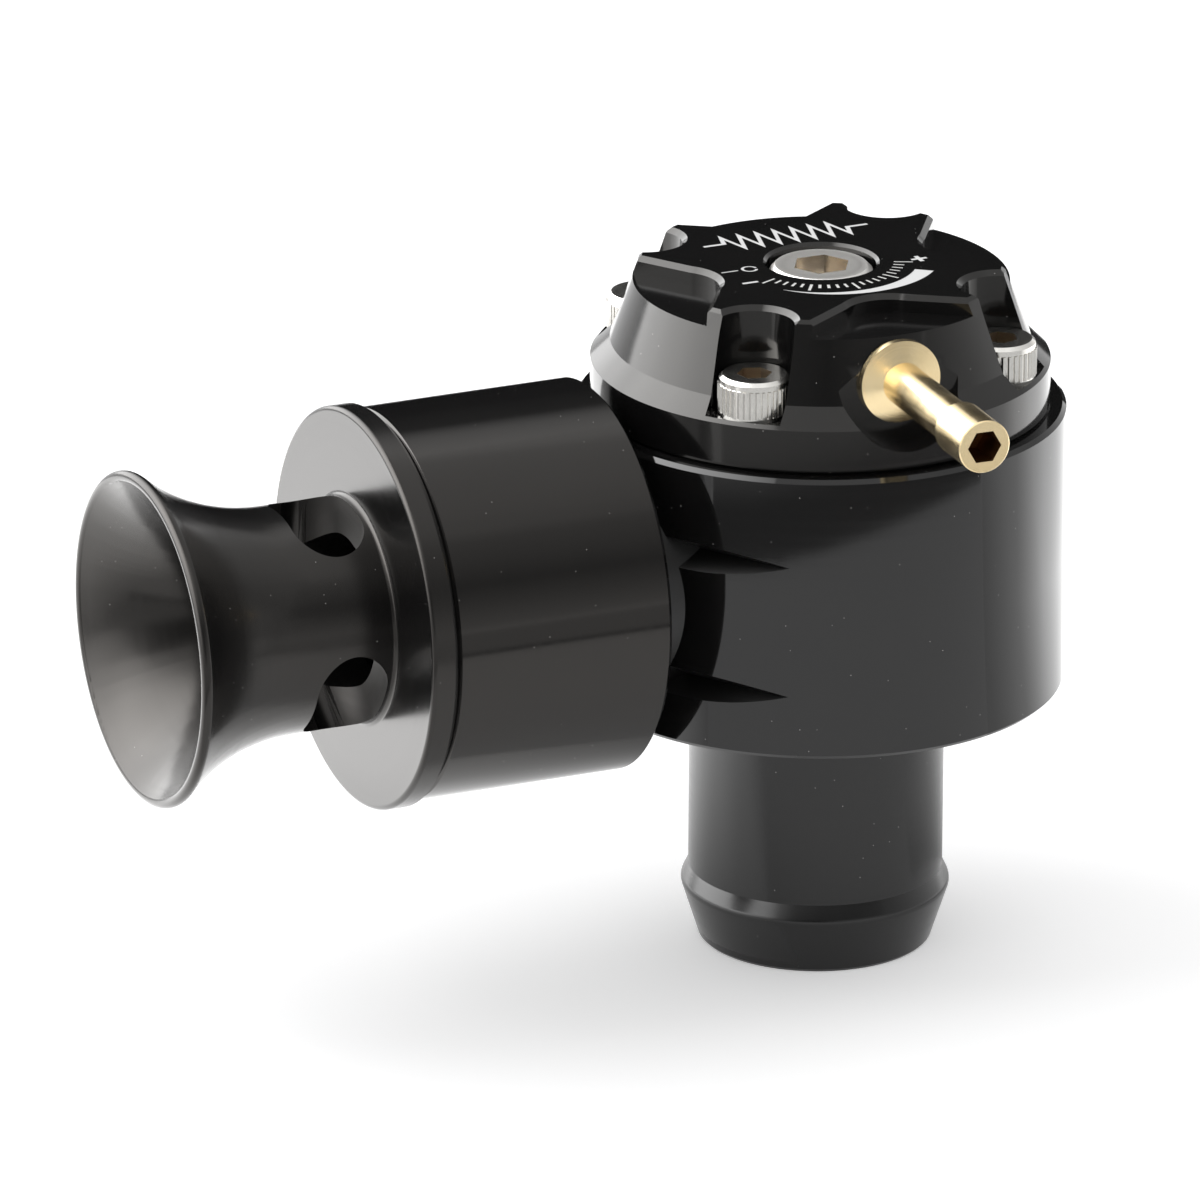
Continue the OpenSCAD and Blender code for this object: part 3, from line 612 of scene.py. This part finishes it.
# %% [markdown]
# The other marks are single shapes, each an outline in the plane of the cap. Curve objects would do
# as well, but plain points give closed prisms later, which a Boolean needs. The spring symbol is one
# long stroke: at each corner its two sides meet on the line that halves the corner.

# %% Spring symbol
STROKE, SHARPEST_MITRE = 0.5, 0.3
SPRING_COILS, SPRING_HALF, SPRING_LEAD, SPRING_Y, SPRING_RISE = 7, 6.6, 2.2, 8.3, 1.8


def stroke(line, width=STROKE):
    """Outline of a line of constant width through the given points."""
    line = [Vector(p) for p in line]
    sides = ([], [])
    for i, point in enumerate(line):
        before = (point - line[i - 1]).normalized() if i else (line[1] - point).normalized()
        after = (line[i + 1] - point).normalized() if i + 1 < len(line) else before
        bisector = (before + after).normalized()
        across = Vector((-bisector.y, bisector.x)) * width / 2
        across /= max(bisector.dot(before), SHARPEST_MITRE)
        sides[0].append(point + across)
        sides[1].append(point - across)
    return sides[0] + sides[1][::-1]


zigzag = [(-SPRING_HALF - SPRING_LEAD, SPRING_Y), (-SPRING_HALF, SPRING_Y)]
for i in range(2 * SPRING_COILS):
    x = -SPRING_HALF + (i + 0.5) * SPRING_HALF / SPRING_COILS
    zigzag.append((x, SPRING_Y + (SPRING_RISE if i % 2 == 0 else -SPRING_RISE)))
zigzag += [(SPRING_HALF, SPRING_Y), (SPRING_HALF + SPRING_LEAD, SPRING_Y)]
print("spring symbol:", len(zigzag), "points")

# %% [markdown]
# The wedge grows from the minus to the plus and follows the ticks around the adjuster, so its points
# are given by radius and angle. The signs, the ring and its leader line are short strokes.

# %% Wedge, signs and ring
WEDGE_FROM, WEDGE_TO, WEDGE_STEPS = 222, 322, 24
WEDGE_R, WEDGE_THIN, WEDGE_THICK = 9.3, 0.15, 1.9
SIGN_PLACES = {"minus": (-9.0, -3.1), "plus": (9.0, -3.1)}
SIGN_HALF = 0.85
RING_PLACE, RING_R, RING_TURNS = (-7.4, 0.6), 0.7, range(0, 341, 20)
LEADER_END, FINE = -10.4, 0.3


def round_about(radius, degrees):
    """The point at a radius and an angle from the valve's axis, in millimetres."""
    turn = math.radians(degrees)
    return Vector((radius * math.cos(turn), radius * math.sin(turn)))


wedge_step = (WEDGE_TO - WEDGE_FROM) / WEDGE_STEPS
wedge_turns = [WEDGE_FROM + wedge_step * i for i in range(WEDGE_STEPS + 1)]
wedge = [round_about(WEDGE_R, turn) for turn in wedge_turns]
for i in reversed(range(WEDGE_STEPS + 1)):
    thickness = WEDGE_THIN + (WEDGE_THICK - WEDGE_THIN) * i / WEDGE_STEPS
    wedge.append(round_about(WEDGE_R + thickness, wedge_turns[i]))

minus_x, minus_y = SIGN_PLACES["minus"]
minus = stroke([(minus_x - SIGN_HALF, minus_y), (minus_x + SIGN_HALF, minus_y)])
arm, side = SIGN_HALF, STROKE / 2
plus_corners = [(arm, side), (side, side), (side, arm)]
plus = []
for quarter in range(4):
    turn = Matrix.Rotation(quarter * math.pi / 2, 2)
    plus += [Vector(SIGN_PLACES["plus"]) + turn @ Vector(corner) for corner in plus_corners]
ring = [Vector(RING_PLACE) + round_about(RING_R, turn) for turn in RING_TURNS]
leader = [(RING_PLACE[0] - RING_R - STROKE, RING_PLACE[1]), (LEADER_END, RING_PLACE[1])]
outlines = [stroke(zigzag), wedge, minus, plus, stroke(ring, FINE), stroke(leader, FINE)]
print("strokes:", len(outlines))

# %% [markdown]
# Each outline is raised into a prism. Cutting the prisms out of the cap makes real grooves, and the
# same prisms, cut lower, are the paint that lies in them. Colour alone would be simpler, but then
# the marks would have no edges that catch the light.

# %% Grooves and paint
ENGRAVING, PAINT_BELOW, CUT_ABOVE = 0.14, 0.04, 0.1
TICKS = {"Ticks": 21, "Radius": 7.0 * MM, "From": math.radians(205), "Sweep": math.radians(130),
         "Length": 1.1 * MM, "Width": 0.3 * MM, "Finish": mark_paint}


def plain_mesh(piece):
    """Turns a piece's modifiers into its mesh."""
    graph = bpy.context.evaluated_depsgraph_get()
    finished = bpy.data.meshes.new_from_object(piece.evaluated_get(graph))
    piece.modifiers.clear()
    piece.data = finished
    return piece


def grow(tree, name, values):
    """The mesh that a tree makes from the given inputs, as an object of its own."""
    piece = bpy.data.objects.new(name, bpy.data.meshes.new(name))
    modifier = piece.modifiers.new(tree.name, "NODES")
    modifier.node_group = tree
    for item in tree.interface.items_tree:
        if item.in_out == "INPUT":
            modifier[item.identifier] = values[item.name]
    scene.collection.objects.link(piece)
    return plain_mesh(piece)


def marks_between(name, low, high):
    """All marks as prisms between two depths from the cap's top, in millimetres."""
    low, high = (cad_high.z + level * MM for level in (low, high))
    marks = grow(tick_tree, name, {**TICKS, "Height": high - low, "Level": (low + high) / 2})
    work = bmesh.new()
    work.from_mesh(marks.data)
    for outline in outlines:
        top, bottom = (
            [work.verts.new((p[0] * MM, p[1] * MM, z)) for p in outline] for z in (high, low))
        work.faces.new(top)
        work.faces.new(bottom[::-1])
        for i in range(len(outline)):
            work.faces.new((top[i - 1], bottom[i - 1], bottom[i], top[i]))
    bmesh.ops.recalc_face_normals(work, faces=work.faces)
    work.to_mesh(marks.data)
    work.free()
    return marks


groove_cutter = marks_between("groove_cutter", -ENGRAVING, CUT_ABOVE)
dial_paint = marks_between("dial_paint", -ENGRAVING, -PAINT_BELOW)
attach(dial_paint, "valve")
print("marks:", len(dial_paint.data.polygons), "faces")

# %% [markdown]
# ## Smooth skins over the CAD solids
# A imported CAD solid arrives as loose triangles, which show as facets on a glossy cylinder. Each
# solid gets a skin: a copy whose doubles are merged, whose curved faces are shaded smooth, and
# whose real corners stay sharp. The parts could be modelled anew, but a copy keeps every size. The
# record says which finish and which moving body each solid, or node, belongs to.

# %% Finish and body of every node
FINISHES = {
    "black_anodised": anodised_body, "stainless": stainless, "nipple_brass": nipple_brass,
    "piston_brass": piston_brass, "seal_rubber": seal_rubber, "spring_steel": spring_steel,
    "bare_aluminium": bare_aluminium,
}
OWN_FINISHES = {
    "top_cap": anodised_cap, "outlet_sleeve": anodised_sleeve, "trumpet": anodised_trumpet,
    "adjuster_screw": adjuster_steel, "inlet_spigot": anodised_spigot,
}
slot_of = {part["node"]: part["material_slot"] for part in frame["record"]["subparts"]}
bodies = frame["record"]["behaviour"]["bodies"]
body_of = {node: body for body, members in bodies.items() for node in members}

# %% [markdown]
# Merging joins the loose triangles wherever their corners meet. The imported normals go, because they
# belong to the loose triangles. The spring is left for later, since it has to give way.

# %% Merged copies
SPRING = "main_spring"
MERGE = 0.0005 * MM


def merged_copy(node):
    """The node's triangles as one closed mesh in the node's finish."""
    mesh = frame["nodes"][node].data.copy()
    packed_normals = mesh.attributes.get("custom_normal")
    if packed_normals:
        mesh.attributes.remove(packed_normals)
    work = bmesh.new()
    work.from_mesh(mesh)
    bmesh.ops.remove_doubles(work, verts=work.verts, dist=MERGE)
    work.to_mesh(mesh)
    work.free()
    mesh.materials.clear()
    mesh.materials.append(OWN_FINISHES.get(node, FINISHES[slot_of[node]]))
    mesh.polygons.foreach_set("material_index", [0] * len(mesh.polygons))
    return mesh


merged_meshes = {node: merged_copy(node) for node in frame["nodes"] if node != SPRING}
print("corners after merging:", sum(len(mesh.vertices) for mesh in merged_meshes.values()))

# %% [markdown]
# Hex sockets get painted shade: their inner faces take a darker material. They could be separate
# pieces, but a second material on the same mesh keeps the skin closed. A rule picks the faces: those
# that lie within a radius of the socket's axis and below its mouth.

# %% Faces of the sockets
SOCKET_SKIN = 0.01 * MM
SCREWS, SCREW_CIRCLE, POCKET_FLOOR = 4, 18.5 * MM, 60.4 * MM
HEAD_HEIGHT, HEAD_SOCKET, HEAD_SOCKET_DEPTH = 3.84 * MM, 1.8 * MM, 3.5 * MM
ADJUSTER_TOP, ADJUSTER_SOCKET, ADJUSTER_SOCKET_DEPTH = 69.35 * MM, 2.95 * MM, 5 * MM
NIPPLE_REACH, NIPPLE_SOCKET, NIPPLE_BORE_DEPTH = 39.7 * MM, 1.8 * MM, 40 * MM


def from_axis(place, centre, axis):
    """How far a place lies along an axis from its centre, and the vector from the axis to it."""
    offset = place - centre
    along = offset.dot(axis)
    return along, offset - along * axis


def socket_rule(mouths, axis, radius, depth):
    """A rule that chooses the faces inside sockets; axis points out of their mouths."""
    def inside(face, mouth):
        along, outwards = from_axis(face.center, mouth, axis)
        return -depth < along < -SOCKET_SKIN and outwards.length < radius

    return lambda face: any(inside(face, mouth) for mouth in mouths)


screw_turns = [math.pi / SCREWS * (1 + 2 * i) for i in range(SCREWS)]
head_tops = [
    Vector((SCREW_CIRCLE * math.cos(t), SCREW_CIRCLE * math.sin(t), POCKET_FLOOR + HEAD_HEIGHT))
    for t in screw_turns
]
adjuster_top = Vector((0, 0, ADJUSTER_TOP))
nipple_tip = NIPPLE_CENTRE + NIPPLE_REACH * NIPPLE_AXIS
# The socket entries are painted shade: darker materials on the faces inside the hex sockets.
FACE_FINISHES_AND_SHADE = {
    "cap_screws": (painted_shade_socket_steel, socket_rule(head_tops, VALVE_AXIS, HEAD_SOCKET, HEAD_SOCKET_DEPTH)),
    "adjuster_screw": (
        painted_shade_adjuster_socket,
        socket_rule([adjuster_top], VALVE_AXIS, ADJUSTER_SOCKET, ADJUSTER_SOCKET_DEPTH)),
    "vacuum_nipple": (
        painted_shade_socket_brass, socket_rule([nipple_tip], NIPPLE_AXIS, NIPPLE_SOCKET, NIPPLE_BORE_DEPTH)),
}
print("nodes with sockets:", ", ".join(FACE_FINISHES_AND_SHADE))

# %% [markdown]
# Windows, gills and the outlet boss were milled after turning, so their faces are duller. The same
# way serves, with other rules: a window's walls stand upright on the neck, a gill's flanks have one
# known tilt, and the boss lies outside the body's radius.

# %% Milled faces
WINDOW_MIDDLE, WINDOW_WIDTH, WALL_TILT = 53.75 * MM, 7.24 * MM, 0.6
GILL_MIDDLE, GILL_SPAN = 40 * MM, 9 * MM
FLANK_TILT, TILT_ROOM = math.cos(math.radians(30)), 0.01
BODY_RADIUS = 24.05 * MM


def window_wall(face):
    """Whether a face of the trumpet is a wall of one of its windows."""
    along, outwards = from_axis(face.center, OUTLET_CENTRE, OUTLET_AXIS)
    tilt = abs(face.normal.dot(outwards.normalized()))
    return abs(along - WINDOW_MIDDLE) < WINDOW_WIDTH / 2 and tilt < WALL_TILT


def gill_or_boss(face):
    """Whether a face of the body is a flank of a gill or belongs to the outlet boss."""
    near_gills = abs(face.center.z - GILL_MIDDLE) < GILL_SPAN
    tilted = abs(abs(face.normal.z) - FLANK_TILT) < TILT_ROOM
    return (near_gills and tilted) or face.center.xy.length > BODY_RADIUS


FACE_FINISHES_AND_SHADE["trumpet"] = (milled_black, window_wall)
FACE_FINISHES_AND_SHADE["main_body"] = (milled_gills, gill_or_boss)
print("nodes with a second finish:", ", ".join(FACE_FINISHES_AND_SHADE))

# %% [markdown]
# Smooth shading alone would round off every corner, so edges sharper than a limit stay sharp, and
# weighted normals keep flat faces flat next to a round edge. Each skin stands for its node and rides
# on the same body. The cap's skin also gets the grooves.

# %% Skins
CORNER = math.radians(24)


def engrave(piece, cutter):
    """Cuts the cutter's shape out of a piece and removes the cutter."""
    grooves = piece.modifiers.new("grooves", "BOOLEAN")
    grooves.object, grooves.operation, grooves.solver = cutter, "DIFFERENCE", "MANIFOLD"
    plain_mesh(piece)
    bpy.data.objects.remove(cutter)


def second_material_faces(piece, finish, chosen):
    """Gives the faces that a rule chooses a second material: painted shade in sockets, a duller finish
    on milled faces.
    """
    piece.data.materials.append(finish)
    for face in piece.data.polygons:
        if chosen(face):
            face.material_index = 1


def shade(piece):
    """Smooth shading with sharp corners and steady normals."""
    piece.data.shade_smooth()
    piece.data.set_sharp_from_angle(angle=CORNER)
    steady = piece.modifiers.new("steady_normals", "WEIGHTED_NORMAL")
    steady.keep_sharp = True
    steady.mode = "FACE_AREA_WITH_ANGLE"
    return plain_mesh(piece)


skins = {}
for node, mesh in merged_meshes.items():
    skin = skins[node] = bpy.data.objects.new(f"{node}_skin", mesh)
    scene.collection.objects.link(skin)
    if node == "top_cap":
        engrave(skin, groove_cutter)
    if node in FACE_FINISHES_AND_SHADE:
        second_material_faces(skin, *FACE_FINISHES_AND_SHADE[node])
    shade(skin)
    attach(skin, body_of[node])
    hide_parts(node)
print("skins:", {node: len(skin.data.polygons) for node, skin in skins.items()})

# %% [markdown]
# The rim of the trumpet's flange is a small round edge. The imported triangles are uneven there, so
# averaged normals give it a saw-toothed highlight. A finer mesh would help, but the rim is an arc
# turned about the outlet's axis, so its true normals are known: straight out of the arc's middle.

# %% Rim of the flange
RIM_ALONG, RIM_AWAY, RIM_RADIUS, RIM_ROOM = 49.05 * MM, 19.2 * MM, 0.5 * MM, 0.012 * MM


def steady_rim(piece):
    """Points the normals of the flange's rounded rim straight out of its arc and counts them."""
    mesh = piece.data
    normals = [corner.vector.copy() for corner in mesh.corner_normals]
    steadied = 0
    for loop in mesh.loops:
        place = mesh.vertices[loop.vertex_index].co
        along, outwards = from_axis(place, OUTLET_CENTRE, OUTLET_AXIS)
        from_arc = Vector((along - RIM_ALONG, outwards.length - RIM_AWAY))
        if min(from_arc) > -RIM_ROOM and abs(from_arc.length - RIM_RADIUS) < RIM_ROOM:
            normal = from_arc.x * OUTLET_AXIS + from_arc.y * outwards.normalized()
            normals[loop.index] = normal.normalized()
            steadied += 1
    mesh.normals_split_custom_set(normals)
    return steadied


print("normals set on the rim:", steady_rim(skins["trumpet"]))

# %% [markdown]
# ## The spring in two pieces
# The spring stands between the piston and the seat plate, and both can move. Its skin is cut in two
# below its last coil, and each piece is closed where it was cut.

# %% Spring
SPRING_FOOT, SPRING_CUT, SPRING_TOP = (Vector((0, 0, z * MM)) for z in (35.3, 48.5, 53.5))


def cut_spring(name, upper):
    """One side of the spring's skin, closed where it was cut."""
    work = bmesh.new()
    work.from_mesh(merged_copy(SPRING))
    parts = [*work.verts, *work.edges, *work.faces]
    bmesh.ops.bisect_plane(
        work, geom=parts, plane_co=SPRING_CUT, plane_no=VALVE_AXIS, clear_inner=upper,
        clear_outer=not upper)
    bmesh.ops.holes_fill(work, edges=[edge for edge in work.edges if edge.is_boundary])
    bmesh.ops.triangulate(work, faces=[face for face in work.faces if len(face.verts) > 4])
    open_edges = sum(edge.is_boundary for edge in work.edges)
    mesh = bpy.data.meshes.new(name)
    work.to_mesh(mesh)
    work.free()
    mesh.materials.append(spring_steel)
    piece = bpy.data.objects.new(name, mesh)
    scene.collection.objects.link(piece)
    shade(piece)
    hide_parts(SPRING)
    print(name, "has", len(mesh.polygons), "faces and", open_edges, "open edges")
    return piece


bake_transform(cut_spring("spring_foot_skin", False))
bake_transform(cut_spring("spring_top_skin", True))

# %% [markdown]
# ## Knurled screw heads
# A socket head has fine upright ridges, so that it can be turned by hand. A bump texture would be
# cheaper, but real ridges also show in the outline of the head. One tree makes them all: a ring of
# ridges for one head, and that ring again on each point of the screw circle.

# %% Tree of knurled heads
RIDGE_SIDES = 6
knurl_tree, knurl, knurl_end = node_tree("knurled_heads", {
    "Screws": "Int", "Screw Circle": "Float", "First Screw": "Rotation", "Ridges": "Int",
    "Head Radius": "Float", "Ridge Radius": "Float", "Ridge Height": "Float", "Place": "Vector",
    "Finish": "Material",
})
ridge = geometry_node(
    knurl_tree, "GeometryNodeMeshCylinder", {"fill_type": "NGON"}, Vertices=RIDGE_SIDES,
    Radius=knurl["Ridge Radius"], Depth=knurl["Ridge Height"])["Mesh"]
head_points = geometry_node(
    knurl_tree, "GeometryNodeMeshCircle", Vertices=knurl["Ridges"], Radius=knurl["Head Radius"])["Mesh"]
head = geometry_node(
    knurl_tree, "GeometryNodeInstanceOnPoints", Points=head_points, Instance=ridge)["Instances"]
screw_points = geometry_node(
    knurl_tree, "GeometryNodeMeshCircle", Vertices=knurl["Screws"], Radius=knurl["Screw Circle"])["Mesh"]
screw_points = geometry_node(
    knurl_tree, "GeometryNodeTransform", Geometry=screw_points, Translation=knurl["Place"],
    Rotation=knurl["First Screw"])["Geometry"]
heads = geometry_node(
    knurl_tree, "GeometryNodeInstanceOnPoints", Points=screw_points, Instance=head)["Instances"]
close_tree(knurl_tree, knurl_end, heads, knurl["Finish"])
print("tree", knurl_tree.name, "has", len(knurl_tree.nodes), "nodes")

# %% Knurl of the four screws
HEAD_RADIUS, KNURL_LOW, KNURL_HIGH = 3.43 * MM, 0.25 * MM, 2.95 * MM
RIDGES, RIDGE_RADIUS, RIDGE_SINK = 36, 0.25 * MM, 0.08 * MM
screw_knurl = grow(knurl_tree, "screw_knurl", {
    "Screws": SCREWS, "Screw Circle": SCREW_CIRCLE, "First Screw": (0, 0, math.pi / SCREWS),
    "Ridges": RIDGES, "Head Radius": HEAD_RADIUS - RIDGE_SINK, "Ridge Radius": RIDGE_RADIUS,
    "Ridge Height": KNURL_HIGH - KNURL_LOW,
    "Place": (0, 0, POCKET_FLOOR + (KNURL_LOW + KNURL_HIGH) / 2), "Finish": stainless,
})
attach(screw_knurl, "valve")
print("knurl:", len(screw_knurl.data.polygons), "faces")
